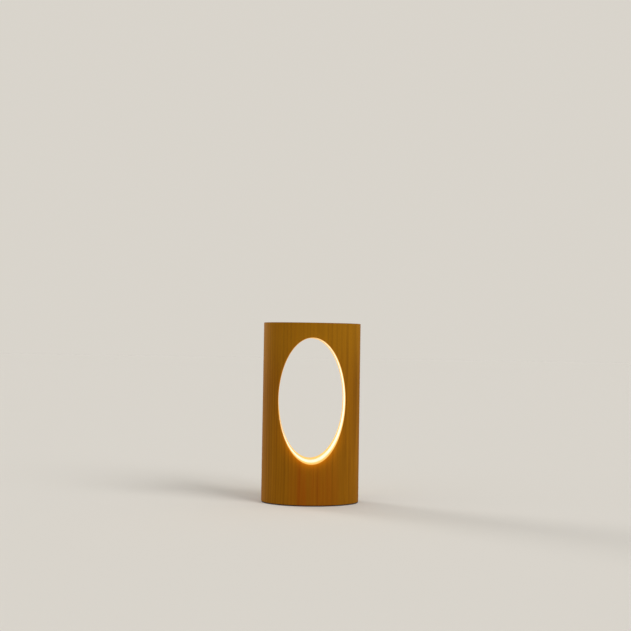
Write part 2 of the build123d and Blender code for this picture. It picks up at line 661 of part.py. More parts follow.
def charge_light():
    """The small light behind the clear rod."""
    rear = PIPE_FRONT_Y - LIGHT_CHIP_GAP
    half = LIGHT_CHIP / 2
    return box((-half, half), (rear - LIGHT_CHIP_DEPTH, rear), (BOARD_TOP, BOARD_TOP + LIGHT_CHIP_HEIGHT))


def header(x):
    """A two-pin header, open towards the front of the lamp."""
    half = HEADER_WIDTH / 2
    top = BOARD_TOP + HEADER_HEIGHT
    shell = box((x - half, x + half), (HEADER_INNER_Y, HEADER_OUTER_Y), (BOARD_TOP, top))
    shell -= box(
        (x - half + HEADER_WALL, x + half - HEADER_WALL),
        (HEADER_INNER_Y - CUT_OVERRUN, HEADER_OUTER_Y - HEADER_WALL),
        (BOARD_TOP + HEADER_WALL, top - HEADER_WALL),
    )
    for pin_x in pin_places(x):
        shell -= pin_shaft(pin_x, 0)
    return shell


def pin_places(x):
    """The two pins' distances from the lamp's middle, in a header at x."""
    return [x - LEAD_SPACING / 2, x + LEAD_SPACING / 2]


def pin_shaft(x, outset):
    """The straight part of a header's pin, grown by outset."""
    half = PIN_SIZE / 2 + outset
    y_range = (HEADER_OUTER_Y - PIN_REACH - outset, HEADER_OUTER_Y)
    return box((x - half, x + half), y_range, (PLUG_Z - half, PLUG_Z + half))


def header_pins():
    """The four pins, each with its tail down the back of its header to the board."""
    pins = []
    for x in pin_places(-HEADER_OFFSET) + pin_places(HEADER_OFFSET):
        half = PIN_SIZE / 2
        across = (x - half, x + half)
        back = (HEADER_OUTER_Y, HEADER_OUTER_Y + PIN_THICKNESS)
        pin = pin_shaft(x, 0) + box(across, back, (BOARD_TOP, PLUG_Z + half))
        tail = (HEADER_OUTER_Y, HEADER_OUTER_Y + PIN_TAIL)
        pins.append(pin + box(across, tail, (BOARD_TOP, BOARD_TOP + PIN_THICKNESS)))
    return Compound(children=pins)


def plug(x):
    """The plug in a header, which its two leads enter from the front of the lamp."""
    half = HEADER_WIDTH / 2 - HEADER_WALL - PLUG_GAP
    low = BOARD_TOP + HEADER_WALL + PLUG_GAP
    high = BOARD_TOP + HEADER_HEIGHT - HEADER_WALL - PLUG_GAP
    back = HEADER_OUTER_Y - HEADER_WALL - PLUG_GAP
    body = box((x - half, x + half), (PLUG_FACE_Y, back), (low, high))
    for pin_x in pin_places(x):
        body -= pin_shaft(pin_x, PIN_GAP)
    return body


def board_parts():
    """The charger chip, the driver chip, the coil and the small parts round them."""
    rows = [
        # x, middle's y, length, width, height
        (-7.0, SOCKET_FRONT_Y - 3.2, 4.0, 4.0, 0.9),
        (6.6, SWITCH_FRONT_Y - 2.6, 3.0, 3.0, 0.9),
        (-0.4, SOCKET_FRONT_Y - 3.2, 4.2, 4.2, 2.0),
        (-10.8, SOCKET_FRONT_Y - 2.4, 1.25, 2.0, 0.8),
        (10.4, SWITCH_FRONT_Y - 2.6, 1.25, 2.0, 0.8),
        (-6.4, HEADER_OUTER_Y + 2.2, 2.0, 1.25, 0.8),
        (-2.8, HEADER_OUTER_Y + 2.2, 2.0, 1.25, 0.8),
        (0.4, HEADER_OUTER_Y + 2.2, 2.0, 1.25, 0.8),
        (3.4, HEADER_OUTER_Y + 2.2, 2.0, 1.25, 0.8),
    ]
    solids = []
    for x, y, length, width, height in rows:
        solids.append(Pos(x, y, BOARD_TOP + height / 2) * Box(length, width, height))
    return Compound(children=solids)


def flat_cell():
    """The flat pouch cell, soft-edged, stuck under the hollow's roof."""
    length = CELL_RIGHT - CELL_LEFT
    plan = RectangleRounded(length, HOLLOW_WIDTH - 2 * CELL_SIDE_GAP, CELL_CORNER)
    cell = Pos((CELL_LEFT + CELL_RIGHT) / 2, 0, CELL_BOTTOM) * extrude(plan, CELL_THICKNESS)
    flat_edges = cell.edges().filter_by(Plane.XY)
    return fillet(flat_edges, CELL_EDGE)


def cell_foam():
    """The adhesive foam between the cell and the hollow's roof."""
    half = HOLLOW_WIDTH / 2 - CELL_SIDE_GAP - FOAM_INSET
    return box((CELL_LEFT + FOAM_INSET, CELL_RIGHT - FOAM_INSET), (-half, half), (CELL_TOP, HOLLOW_TOP))


def guard_board():
    """The cell's small guard board, at the end where its leads start."""
    half_width = GUARD_BOARD_WIDTH / 2
    half_thickness = GUARD_BOARD_THICKNESS / 2
    return box(
        (CELL_RIGHT, GUARD_BOARD_END),
        (-half_width, half_width),
        (GUARD_BOARD_Z - half_thickness, GUARD_BOARD_Z + half_thickness),
    )


def lead(points):
    """A lead along straight runs joined by arcs as large as the runs allow."""
    radii = []
    for before, corner, after in zip(points, points[1:], points[2:]):
        into = Vector(*corner) - Vector(*before)
        out = Vector(*after) - Vector(*corner)
        half_turn = math.radians(into.get_angle(out) / 2)
        radii.append(0.45 * min(into.length, out.length) / math.tan(half_turn))
    print("lead bend radii", [round(radius, 1) for radius in radii])
    path = FilletPolyline(*points, radius=radii)
    start = Plane(origin=path @ 0, z_dir=path % 0)
    tube = sweep(start * Circle(LEAD_DIAMETER / 2), path)
    section = math.pi * (LEAD_DIAMETER / 2) ** 2
    print("lead volume over section times length", round(tube.volume / (section * path.length), 4))
    return tube


def beside(point, side):
    """A point of one lead of a pair: the pair's point, moved sideways by half their spacing."""
    x, y, z, across_x, across_y = point
    shift = side * LEAD_SPACING / 2
    return (x + shift * across_x, y + shift * across_y, z)


def light_lead(side):
    """A lead from the light strip, down its bore and round to the light plug."""
    pair = [
        # x, y, z, and the way from the black lead to the red one
        (LEAD_BORE_OFFSET, 0, HOLLOW_TOP, -0.71, 0.71),
        (LEAD_BORE_OFFSET, 0, PLUG_Z, -0.71, 0.71),
        (HEADER_OFFSET + 5.7, PLUG_FACE_Y - 9.9, PLUG_Z, -0.23, 1.18),
        (HEADER_OFFSET, PLUG_FACE_Y - 7.5, PLUG_Z, 1, 0.67),
        (HEADER_OFFSET, PLUG_FACE_Y, PLUG_Z, 1, 0),
    ]
    points = [beside(point, side) for point in pair]
    x, y, _ = points[0]
    top = groove_floor(x - LEAD_DIAMETER / 2) - LEAD_CLEAR
    return lead([(x, y, top)] + points[1:])


def cell_lead(side):
    """A lead from the cell's guard board, under the board's end, to the cell plug."""
    y = PLUG_FACE_Y - 8.8
    turn_x = GUARD_BOARD_END + 9
    low = PLUG_Z - 6
    pair = [
        # x, y, z, and the way from the black lead to the red one
        (GUARD_BOARD_END, y, GUARD_BOARD_Z, 0, 1),
        (turn_x, y, GUARD_BOARD_Z, 0, 1),
        (turn_x, y, low, 0, 1),
        (HEADER_OFFSET + 3, y, low - 0.5, 0, 1),
        (-HEADER_OFFSET, y, PLUG_Z, 1, 1),
        (-HEADER_OFFSET, PLUG_FACE_Y, PLUG_Z, 1, 0),
    ]
    return lead([beside(point, side) for point in pair])


PARTS = {
    "wood_body": wood_body,
    "light_band": light_band,
    "light_strip": light_strip,
    "light_chips": light_chips,
    "foot_pad": foot_pad,
    "base_cover": base_cover,
    "cover_screws": cover_screws,
    "back_plate": back_plate,
    "plate_screws": plate_screws,
    "control_board": control_board,
    "board_screws": board_screws,
    "board_parts": board_parts,
    "socket_shell": socket_shell,
    "socket_tongue": socket_tongue,
    "socket_contacts": socket_contacts,
    "button_cap": button_cap,
    "button_spring": button_spring,
    "switch_plunger": switch_plunger,
    "switch_housing": switch_housing,
    "light_pipe": light_pipe,
    "charge_light": charge_light,
    "header_pins": header_pins,
    "light_header": lambda: header(HEADER_OFFSET),
    "cell_header": lambda: header(-HEADER_OFFSET),
    "light_plug": lambda: plug(HEADER_OFFSET),
    "cell_plug": lambda: plug(-HEADER_OFFSET),
    "flat_cell": flat_cell,
    "cell_foam": cell_foam,
    "guard_board": guard_board,
    "light_lead_red": lambda: light_lead(1),
    "light_lead_black": lambda: light_lead(-1),
    "cell_lead_red": lambda: cell_lead(1),
    "cell_lead_black": lambda: cell_lead(-1),
}

os.makedirs("parts", exist_ok=True)
for name, make in PARTS.items():
    export_step(make(), f"parts/{name}.step")
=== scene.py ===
import json
import math

import bpy
from mathutils import Matrix, Vector


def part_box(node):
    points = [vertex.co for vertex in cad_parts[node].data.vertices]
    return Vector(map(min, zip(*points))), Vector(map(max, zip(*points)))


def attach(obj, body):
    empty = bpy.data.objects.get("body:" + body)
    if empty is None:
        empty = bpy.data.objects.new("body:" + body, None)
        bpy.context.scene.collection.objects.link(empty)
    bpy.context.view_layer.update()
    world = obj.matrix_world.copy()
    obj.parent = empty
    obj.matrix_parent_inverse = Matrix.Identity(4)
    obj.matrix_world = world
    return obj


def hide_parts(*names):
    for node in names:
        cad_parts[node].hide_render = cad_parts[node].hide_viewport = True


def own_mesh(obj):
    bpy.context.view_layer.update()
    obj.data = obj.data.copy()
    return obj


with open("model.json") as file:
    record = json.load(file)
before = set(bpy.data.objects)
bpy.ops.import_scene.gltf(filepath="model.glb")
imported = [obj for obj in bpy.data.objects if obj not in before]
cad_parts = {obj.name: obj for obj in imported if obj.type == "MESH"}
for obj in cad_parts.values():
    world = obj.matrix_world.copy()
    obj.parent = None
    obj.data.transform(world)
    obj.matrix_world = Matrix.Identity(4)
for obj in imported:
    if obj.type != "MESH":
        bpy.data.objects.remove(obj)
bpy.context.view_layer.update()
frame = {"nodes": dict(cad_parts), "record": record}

MM = 0.001

# The camera as the photograph has it: where it stands, and how it is turned
CAMERA_PLACE = Vector((-30.8, -889.0, 157.6)) * MM
CAMERA_TURN = 0.03796
CAMERA_PITCH = 0.03408
CAMERA_ROLL = 0.01549
CAMERA_LENS = 50.0
SENSOR_WIDTH = 36.0

# The stage and its light. Each lamp: the way to it, its strength and how wide it is in degrees
FLOOR_SIZE = 20.0
FLOOR_COLOUR = (228, 223, 214)
SKY_STRENGTH = 0.46
LAMPS = {
    "key": ((0.85, -0.62, 0.80), 1.45, 34),
    "fill": ((-0.90, -0.45, 0.55), 0.26, 60),
    "back": ((-0.82, 0.54, 0.25), 1.45, 22),
}

# The lamp's own measures, in millimetres, read from the frame
BAND_LOW, BAND_HIGH = (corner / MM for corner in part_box("light_band"))
WOOD_LOW, WOOD_HIGH = (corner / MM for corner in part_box("wood_body"))
BAND_DEPTH = 4.95
WINDOW_CENTRE = (BAND_LOW.z + BAND_HIGH.z) / 2
WINDOW_HALF_WIDTH = BAND_HIGH.x - BAND_DEPTH
WINDOW_HALF_HEIGHT = (BAND_HIGH.z - BAND_LOW.z) / 2 - BAND_DEPTH
BAND_HALF_WIDTH = BAND_HIGH.y
WOOD_MIDDLE = (WOOD_LOW.z + WOOD_HIGH.z) / 2
WOOD_HALF_HEIGHT = (WOOD_HIGH.z - WOOD_LOW.z) / 2
STRIP_THICKNESS = 0.3
CHIP_COUNT = 36

# Small blocks that have rounded edges: the piece, the body it moves with and the rounding in millimetres
ROUNDED_BLOCKS = {
    "cell_foam": ("foam_pad", "root", 0.5),
    "guard_board": ("guard_card", "root", 0.12),
    "charge_light": ("charge_lamp", "root", 0.1),
    "switch_plunger": ("plunger_block", "button", 0.15),
}
ROUNDING_STEPS = 3
SMOOTH_ANGLE = 40

# The finish that the record gives each node
SLOTS = {part["node"]: part["material_slot"] for part in frame["record"]["subparts"]}


def srgb(red, green, blue):
    """A colour written as it looks on a screen, 0 to 255, as the linear colour that nodes take."""

    def linear(channel):
        value = channel / 255
        return value / 12.92 if value <= 0.04045 else ((value + 0.055) / 1.055) ** 2.4

    return (linear(red), linear(green), linear(blue), 1.0)


def shaded(colour, level):
    """The same colour at another level."""
    return tuple(channel * level for channel in colour[:3]) + (1.0,)


def middle(node):
    """The middle of a CAD node's box, in millimetres."""
    low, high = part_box(node)
    return (low + high) / 2 / MM


class Value:
    """Something that varies over a surface: a socket that takes ordinary arithmetic."""

    def __init__(self, paint, socket):
        self.paint = paint
        self.socket = socket

    def __add__(self, other):
        return self.paint.maths("ADD", self, other)

    def __radd__(self, other):
        return self.paint.maths("ADD", other, self)

    def __sub__(self, other):
        return self.paint.maths("SUBTRACT", self, other)

    def __rsub__(self, other):
        return self.paint.maths("SUBTRACT", other, self)

    def __mul__(self, other):
        return self.paint.maths("MULTIPLY", self, other)

    def __rmul__(self, other):
        return self.paint.maths("MULTIPLY", other, self)

    def __truediv__(self, other):
        return self.paint.maths("DIVIDE", self, other)

    def __pow__(self, other):
        return self.paint.maths("POWER", self, other)

    def __neg__(self):
        return self.paint.maths("MULTIPLY", self, -1)

    def __abs__(self):
        return self.paint.maths("ABSOLUTE", self)


class Paint:
    """One material: its shader, and short ways to add the nodes behind it."""

    def __init__(self, name, **constants):
        self.material = bpy.data.materials.new(name)
        self.material.use_nodes = True
        self.tree = self.material.node_tree
        self.tree.nodes.clear()
        self.shader = self.tree.nodes.new("ShaderNodeBsdfPrincipled")
        output = self.tree.nodes.new("ShaderNodeOutputMaterial")
        self.tree.links.new(self.shader.outputs["BSDF"], output.inputs["Surface"])
        self.object_place = self.add("ShaderNodeTexCoord", output="Object")
        self.set(**constants)

    def add(self, kind, settings=None, inputs=None, output=0):
        """A node of that kind with its settings made first, then its sockets' values or links."""
        node = self.tree.nodes.new(kind)
        for name, value in (settings or {}).items():
            setattr(node, name, value)
        for name, value in (inputs or {}).items():
            self.feed(node.inputs[name], value)
        return Value(self, node.outputs[output])

    def feed(self, socket, value):
        """Links a varying value to a socket, or sets a plain one on it."""
        if isinstance(value, Value):
            self.tree.links.new(value.socket, socket)
        else:
            socket.default_value = value

    def set(self, **inputs):
        """The shader's own sockets, with underscores for the spaces in their names."""
        for name, value in inputs.items():
            self.feed(self.shader.inputs[name.replace("_", " ")], value)

    def maths(self, operation, *values):
        return self.add("ShaderNodeMath", {"operation": operation}, dict(enumerate(values)))

    def place(self, per_mm=(1, 1, 1), shift=(0, 0, 0)):
        """Object coordinates in steps of so many to the millimetre along each axis."""
        scale = [steps / MM for steps in per_mm]
        inputs = {"Vector": self.object_place, "Location": shift, "Scale": scale}
        return self.add("ShaderNodeMapping", {}, inputs)

    def axes(self, centre=(0, 0, 0)):
        """Distances in millimetres from a centre along X, Y and Z."""
        place = self.place(shift=[-distance for distance in centre])
        return [self.add("ShaderNodeSeparateXYZ", {}, {"Vector": place}, i) for i in range(3)]

    def noise(self, per_mm, detail=2.0, roughness=0.5, shift=(0, 0, 0)):
        """Noise from about -1 to 1, with so many steps to the millimetre along each axis."""
        if not isinstance(per_mm, tuple):
            per_mm = (per_mm,) * 3
        place = self.place(per_mm, shift)
        inputs = {"Vector": place, "Scale": 1.0, "Detail": detail, "Roughness": roughness}
        return self.add("ShaderNodeTexNoise", {}, inputs) * 2 - 1

    def clamp(self, value, low=0.0, high=1.0):
        return self.add("ShaderNodeClamp", {}, {"Value": value, "Min": low, "Max": high})

    def rise(self, value, start, end):
        """0 before start, 1 after end, and smooth between them."""
        limits = {"Value": value, "From Min": start, "From Max": end}
        return self.add("ShaderNodeMapRange", {"interpolation_type": "SMOOTHSTEP"}, limits)

    def mix(self, factor, first, second):
        """A colour between two others."""
        settings = {"data_type": "RGBA", "clamp_factor": True}
        return self.add("ShaderNodeMix", settings, {0: factor, 6: first, 7: second}, 2)

    def scaled(self, colour, level):
        """A colour at a level that varies."""
        colour = colour if isinstance(colour, Value) else colour[:3]
        return self.add("ShaderNodeVectorMath", {"operation": "SCALE"}, {"Vector": colour, "Scale": level})

    def bump(self, height, depth_mm):
        """Raises the surface by height, in shares of a depth."""
        inputs = {"Height": height, "Strength": 1.0, "Distance": depth_mm * MM}
        self.set(Normal=self.add("ShaderNodeBump", {}, inputs))


def oiled_wood():
    """Satin oiled wood, one solid pattern: growth rings round a pith outside the block, and fibres up it."""
    pith_x, pith_y, ring_pitch = -128.0, 88.0, 3.1
    heart_x, heart_half_width, heart_height = 3, 34, 66
    top_lighter_from, top_lighter_to = 112, 172
    end_grain_and_shade_depth = 0.6
    paint = Paint("oiled_wood", Specular_IOR_Level=0.05)
    x, y, z = paint.axes()
    sway = paint.noise((0.016, 0.016, 0.0045), detail=2.0)
    ripple = paint.noise((0.09, 0.09, 0.009), detail=3.0)
    seasons = paint.noise((0.055, 0.055, 0.0015), detail=3.0, shift=(4, 9, 2))
    from_pith = ((x - pith_x) ** 2 + (y - pith_y) ** 2) ** 0.5
    phase = paint.maths("FRACT", (from_pith + sway * 4.5 + ripple * 0.9 + seasons * 3.4) / ring_pitch)
    late = paint.rise(phase, 0.30, 0.92) * (1 - paint.rise(phase, 0.93, 1.0))
    late = late * paint.clamp(0.5 + paint.noise((0.10, 0.10, 0.004), detail=2.0, shift=(8, 2, 5)) * 1.1)
    fibre = paint.noise((2.6, 2.6, 0.03), detail=4.0, roughness=0.65)
    line = paint.noise((0.95, 0.95, 0.009), detail=3.0, roughness=0.6, shift=(1, 6, 3))
    streak = paint.noise((0.30, 0.30, 0.004), detail=4.0, roughness=0.62)
    pore = paint.rise(paint.noise((3.4, 3.4, 0.15), detail=1.0), 0.38, 0.60)
    cloud = paint.noise((0.020, 0.020, 0.008), detail=2.0, shift=(3, 1, 7))
    heart = paint.rise(heart_half_width - abs(x - heart_x), 0, 26) * paint.rise(heart_height - z, 0, 45)
    lighter_towards_top = paint.rise(z + cloud * 14, top_lighter_from, top_lighter_to)
    from_middle = abs(z - WOOD_MIDDLE)
    end_grain_and_edge_shade = paint.rise(from_middle, WOOD_HALF_HEIGHT - end_grain_and_shade_depth, WOOD_HALF_HEIGHT)

    tone = paint.clamp(0.47 + late * 0.28 + fibre * 0.24 + line * 0.22 + streak * 0.24 + cloud * 0.18)
    colour = paint.mix(tone, srgb(171, 111, 12), srgb(106, 62, 2))
    reddening = paint.noise((0.20, 0.20, 0.005), detail=3.0, roughness=0.6, shift=(2, 7, 1))
    redness = paint.clamp(heart * (0.46 + reddening * 0.75) + cloud * 0.25 + reddening * 0.22)
    colour = paint.mix(redness * 0.7, colour, srgb(150, 68, 3))
    # Lighter towards the top, from 112 to 172 mm up.
    colour = paint.mix(lighter_towards_top * 0.3, colour, srgb(176, 122, 16))
    colour = paint.mix(pore * 0.40, colour, srgb(72, 40, 5))
    # Darker at the top and bottom: the end grain there, and painted shade on the rounded edges beside it.
    colour = paint.mix(end_grain_and_edge_shade * 0.5, colour, srgb(92, 54, 7))
    paint.set(Base_Color=colour, Roughness=paint.clamp(0.58 + fibre * 0.10 + pore * 0.15 + end_grain_and_edge_shade * 0.1))
    # Painted light: the band's light on the wood, painted in as emission.
    paint.set(Emission_Color=painted_window_light(paint, x, y, z, tone), Emission_Strength=1.0)
    paint.bump(fibre * 0.45 + late * 0.4 - pore * 1.1, 0.035)
    return paint


def painted_window_light(paint, x, y, z, tone):
    """Painted light: the band's light on the wood beside it, painted into the wood's emission, strongest
    below the window.
    """
    spread_fall, rim_fall, wall_fall = 0.32, 4.5, 0.036
    wall_depth = 0.25
    across = x / WINDOW_HALF_WIDTH
    up = (z - WINDOW_CENTRE) / WINDOW_HALF_HEIGHT
    reach = (across ** 2 + up ** 2) ** 0.5
    steepness = ((across / WINDOW_HALF_WIDTH) ** 2 + (up / WINDOW_HALF_HEIGHT) ** 2) ** 0.5
    outside = paint.maths("MAXIMUM", reach - 1, 0.0) * reach / steepness
    below = paint.rise(-up, 0.30, 1.0)
    spread = paint.maths("EXPONENT", outside * -spread_fall) * (0.02 + below * 0.34)
    rim = paint.maths("EXPONENT", outside * -rim_fall) * (0.85 + below * 0.15)
    on_wall = 1 - paint.rise(outside, 0.0, wall_depth)
    grain = 1.22 - tone * 0.34
    beside = paint.maths("EXPONENT", (abs(y) - BAND_HALF_WIDTH) * -wall_fall) * grain
    # Painted light on the front face round the window: orange at the rim, fading outwards and strongest
    # below.
    face_light = paint.scaled(paint.mix(rim, srgb(255, 132, 0), srgb(255, 212, 84)), spread + rim)
    # Painted light on the window's inner wall beside the band, following the grain.
    wall_light = paint.scaled(srgb(255, 213, 120), beside)
    return paint.mix(on_wall, face_light, wall_light)


def lit_band():
    """The frosted band, lit from behind: near white along its middle, warmer at its edges."""
    spot_core, spot_end = 2.0, 9.0
    paint = Paint("lit_frosted_band", Roughness=0.5, Specular_IOR_Level=0.3, Emission_Strength=0.80)
    x, y, z = paint.axes((0, 0, WINDOW_CENTRE))
    edge = paint.rise(abs(y), BAND_HALF_WIDTH * 0.25, BAND_HALF_WIDTH * 1.02)
    spots = chip_brightness(paint, x, z) * (1 - paint.rise(abs(y), spot_core, spot_end))
    mottle = paint.noise(0.5, detail=3.0)
    colour = paint.mix(edge, srgb(255, 246, 222), srgb(255, 214, 138))
    level = 0.92 + spots * 0.08 - edge * 0.10 + mottle * 0.012
    paint.set(Base_Color=srgb(176, 168, 150), Emission_Color=paint.scaled(colour, level))
    paint.bump(paint.noise(3.0, detail=2.0), 0.01)
    return paint


def chip_brightness(paint, x, z):
    """1 in front of each light-emitting chip and -1 between two, along the oval."""
    on_strip = BAND_DEPTH - STRIP_THICKNESS
    wide, high = WINDOW_HALF_WIDTH + on_strip, WINDOW_HALF_HEIGHT + on_strip
    steps = 720
    turn = [2 * math.pi * i / steps for i in range(steps)]
    speed = [math.hypot(wide * math.sin(t), high * math.cos(t)) for t in turn]
    mean, second, fourth = (
        sum(value * math.cos(order * t) for value, t in zip(speed, turn)) / steps for order in (0, 2, 4)
    )
    angle = paint.maths("ARCTAN2", z / high, x / wide)
    along = angle * mean + paint.maths("SINE", angle * 2) * second
    along = along + paint.maths("SINE", angle * 4) * (fourth / 2)
    pitch = 2 * math.pi * mean / CHIP_COUNT
    return -paint.maths("COSINE", along * (2 * math.pi / pitch))


def moulded(name, colour, roughness, grain_mm=0.012, grain=5.0):
    """Moulded plastic or rubber with a fine even texture."""
    paint = Paint(name)
    fine = paint.noise(grain, detail=3.0, roughness=0.6)
    broad = paint.noise(0.12, detail=2.0)
    tone = paint.clamp(0.5 + fine * 0.25 + broad * 0.35)
    paint.set(
        Base_Color=paint.mix(tone, shaded(colour, 0.82), shaded(colour, 1.22)),
        Roughness=paint.clamp(roughness + fine * 0.08 + broad * 0.05),
    )
    paint.bump(fine, grain_mm)
    return paint


def metal(name, colour, roughness, grain):
    """Metal with fine marks, even all ways or drawn along one axis."""
    paint = Paint(name, Metallic=1.0)
    marks = paint.noise(grain, detail=3.0, roughness=0.6)
    stain = paint.noise(0.35, detail=2.0)
    tone = paint.clamp(0.5 + marks * 0.3 + stain * 0.3)
    paint.set(
        Base_Color=paint.mix(tone, shaded(colour, 0.86), shaded(colour, 1.08)),
        Roughness=paint.clamp(roughness + marks * 0.07 + stain * 0.05, 0.1, 1.0),
    )
    paint.bump(marks, 0.004)
    return paint


def button_metal():
    """Fine turned aluminium with a stroke-and-ring mark, the common sign for on and off."""
    ring_radius, ring_half_line, turning_marks = 1.25, 0.16, 34
    stroke_height, stroke_half_length, stroke_half_line = 1.12, 0.52, 0.15
    soft = 0.02
    paint = metal("turned_button", srgb(178, 178, 180), 0.26, 6.0)
    x, _, z = paint.axes(middle("button_cap"))
    reach = (x ** 2 + z ** 2) ** 0.5
    turned = paint.maths("SINE", reach * turning_marks) * 0.5
    ring = paint.rise(ring_half_line - abs(reach - ring_radius), -soft, soft)
    gap = paint.rise(z - abs(x) * 1.6, 0.0, 2 * soft)
    stroke_across = paint.rise(stroke_half_line - abs(x), -soft, soft)
    stroke_along = paint.rise(stroke_half_length - abs(z - stroke_height), -soft, soft)
    mark = paint.maths("MAXIMUM", ring * (1 - gap), stroke_across * stroke_along)
    base = paint.mix(paint.clamp(turned * 0.3 + 0.5), srgb(166, 166, 168), srgb(192, 192, 194))
    paint.set(Base_Color=paint.mix(mark, base, srgb(30, 30, 31)), Metallic=1 - mark)
    paint.set(Roughness=paint.clamp(0.26 + turned * 0.06 + mark * 0.3))
    paint.bump(turned * 0.2 - mark, 0.02)
    return paint


def circuit_board():
    """Green solder mask over copper tracks, with white outlines round the larger parts."""
    outline_gap, outline_half_line, soft = 0.4, 0.09, 0.02
    paint = Paint("circuit_board", Roughness=0.38)
    x, y, _ = paint.axes()
    area = paint.noise(0.16, detail=0.0)
    along_x = track_lines(paint, y) * paint.rise(area, 0.02, 0.05)
    along_y = track_lines(paint, x) * paint.rise(-area, 0.02, 0.05)
    tracks = paint.maths("MAXIMUM", along_x, along_y)
    colour = paint.mix(tracks, srgb(16, 84, 44), srgb(44, 122, 66))
    outline = 0.0
    for node in ("light_header", "cell_header", "switch_housing"):
        low, high = (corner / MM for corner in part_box(node))
        beyond_x = abs(x - (low.x + high.x) / 2) - (high.x - low.x) / 2
        beyond_y = abs(y - (low.y + high.y) / 2) - (high.y - low.y) / 2
        beyond = paint.maths("MAXIMUM", beyond_x, beyond_y)
        line = paint.rise(outline_half_line - abs(beyond - outline_gap), -soft, soft)
        outline = paint.maths("MAXIMUM", outline, line)
    paint.set(Base_Color=paint.mix(outline, colour, srgb(226, 226, 216)))
    paint.bump(tracks * 0.6 + outline, 0.02)
    return paint


def track_lines(paint, across):
    """Even parallel lines, 1 on each and 0 between them. Widths are in shares of the pitch."""
    pitch_mm, half_line, soft = 0.9, 0.16, 0.03
    from_line = abs(paint.maths("FRACT", across / pitch_mm) - 0.5)
    return paint.rise(half_line - from_line, -soft, soft)


def cell_pouch():
    """The cell's silver laminate, slightly creased."""
    paint = Paint("cell_pouch", Metallic=0.75)
    crease = paint.noise((0.25, 0.35, 0.35), detail=4.0, roughness=0.65)
    fine = paint.noise(2.0, detail=2.0)
    tone = paint.clamp(0.5 + crease * 0.3 + fine * 0.1)
    paint.set(Base_Color=paint.mix(tone, srgb(150, 152, 156), srgb(200, 202, 205)))
    paint.set(Roughness=paint.clamp(0.34 + crease * 0.08))
    paint.bump(crease + fine * 0.1, 0.12)
    return paint


def light_chip():
    """A chip's yellow phosphor, lit."""
    paint = Paint("light_chip", Roughness=0.4, Emission_Strength=1.5)
    tone = paint.clamp(paint.noise(3.0) * 0.5 + 0.5)
    paint.set(Base_Color=paint.mix(tone, srgb(232, 196, 84), srgb(246, 220, 130)))
    paint.set(Emission_Color=paint.mix(tone, srgb(255, 226, 160), srgb(255, 236, 190)))
    return paint


def clear_acrylic():
    """Clear rod with a frosted end."""
    paint = Paint("clear_acrylic", Transmission_Weight=0.85, IOR=1.49)
    frost = paint.noise(6.0, detail=3.0)
    tone = paint.clamp(frost * 0.5 + 0.5)
    paint.set(Base_Color=paint.mix(tone, srgb(226, 232, 230), srgb(246, 250, 248)))
    paint.set(Roughness=paint.clamp(0.32 + frost * 0.1))
    return paint


FINISHES = {
    "wood": oiled_wood,
    "frosted_silicone": lit_band,
    "strip_film": lambda: moulded("strip_film", srgb(226, 224, 214), 0.45),
    "light_chip": light_chip,
    "foot_rubber": lambda: moulded("foot_rubber", srgb(46, 38, 32), 0.85, 0.05, 3.0),
    "black_plastic": lambda: moulded("black_plastic", srgb(40, 39, 38), 0.52, 0.02, 4.0),
    "zinc_steel": lambda: metal("zinc_steel", srgb(196, 196, 190), 0.30, 5.0),
    "black_steel": lambda: metal("black_steel", srgb(58, 57, 58), 0.38, 5.0),
    "circuit_board": circuit_board,
    "chip_plastic": lambda: moulded("chip_plastic", srgb(36, 36, 38), 0.45, 0.008, 6.0),
    "socket_steel": lambda: metal("socket_steel", srgb(204, 204, 206), 0.24, (6.0, 1.0, 6.0)),
    "contact_gold": lambda: metal("contact_gold", srgb(224, 184, 98), 0.24, 8.0),
    "button_metal": button_metal,
    "spring_steel": lambda: metal("spring_steel", srgb(186, 186, 190), 0.25, 8.0),
    "plunger_plastic": lambda: moulded("plunger_plastic", srgb(206, 190, 150), 0.4, 0.006, 6.0),
    "clear_acrylic": clear_acrylic,
    "white_nylon": lambda: moulded("white_nylon", srgb(222, 216, 202), 0.5, 0.008, 5.0),
    "cell_pouch": cell_pouch,
    "foam": lambda: moulded("foam", srgb(52, 52, 54), 0.9, 0.15, 2.2),
    "red_lead": lambda: moulded("red_lead", srgb(176, 26, 22), 0.38, 0.005, 5.0),
    "black_lead": lambda: moulded("black_lead", srgb(30, 30, 31), 0.38, 0.005, 5.0),
}


def finish_nodes():
    """Gives every CAD node the finish of its slot in the record."""
    finishes = {}
    for node, slot in SLOTS.items():
        if slot not in finishes:
            finishes[slot] = FINISHES[slot]().material
        mesh = frame["nodes"][node].data
        mesh.materials.clear()
        mesh.materials.append(finishes[slot])
    return finishes


def button_coil(finish):
    """The button's coil spring, in the CAD spring's place and at its length."""
    low, high = (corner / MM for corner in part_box("button_spring"))
    wire, turns, steps = 0.45, 4, 24
    radius = (high.x - low.x - wire) / 2
    run = high.y - low.y - wire
    curve = bpy.data.curves.new("button_coil", "CURVE")
    curve.dimensions = "3D"
    curve.bevel_depth = wire / 2 * MM
    curve.bevel_resolution = 3
    curve.use_fill_caps = True
    spline = curve.splines.new("POLY")
    count = turns * steps + 1
    spline.points.add(count - 1)
    for i, point in enumerate(spline.points):
        turn = 2 * math.pi * i / steps
        along = low.y + wire / 2 + run * i / (count - 1)
        across = (low.x + high.x) / 2 + radius * math.cos(turn)
        up = (low.z + high.z) / 2 + radius * math.sin(turn)
        point.co = (across * MM, along * MM, up * MM, 1)
    coil = bpy.data.objects.new("button_coil", curve)
    bpy.context.scene.collection.objects.link(coil)
    bpy.ops.object.select_all(action="DESELECT")
    coil.select_set(True)
    bpy.context.view_layer.objects.active = coil
    bpy.ops.object.convert(target="MESH")
    coil.data.materials.append(finish)
    bpy.ops.object.shade_smooth()
    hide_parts("button_spring")
    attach(coil, "root")
    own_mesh(coil)


